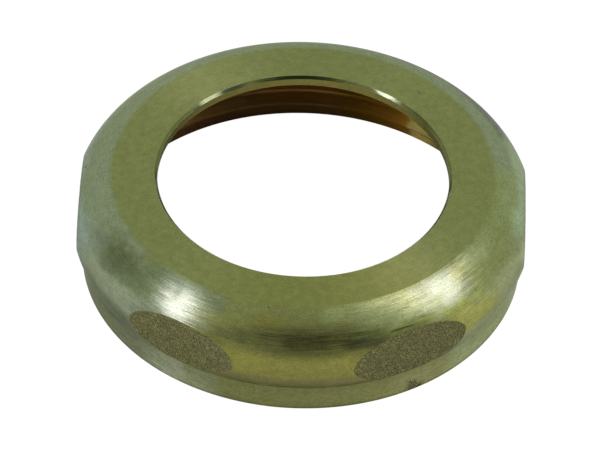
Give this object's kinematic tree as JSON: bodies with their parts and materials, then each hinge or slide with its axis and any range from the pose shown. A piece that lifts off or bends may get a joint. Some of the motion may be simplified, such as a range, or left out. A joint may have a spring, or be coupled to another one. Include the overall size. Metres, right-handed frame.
{
  "type": "slip joint nut",
  "caption": "Round-shouldered brass slip joint nut with a thin lip, a plain tube bore, a threaded socket and cast wrench flats.",
  "frame": {"origin": "centre of the threaded mouth, on the plane that the nut stands on", "axes": "+Z along the bore from the threaded mouth to the lip; one pair of wrench flats faces +X and -X"},
  "size_m": [0.0508, 0.0528, 0.0124],
  "materials": {
    "brass": "fine turned brass, dull, with rough cast wrench flats"
  },
  "bodies": {
    "root": {"slip_nut": "brass"}
  },
  "joints": []
}
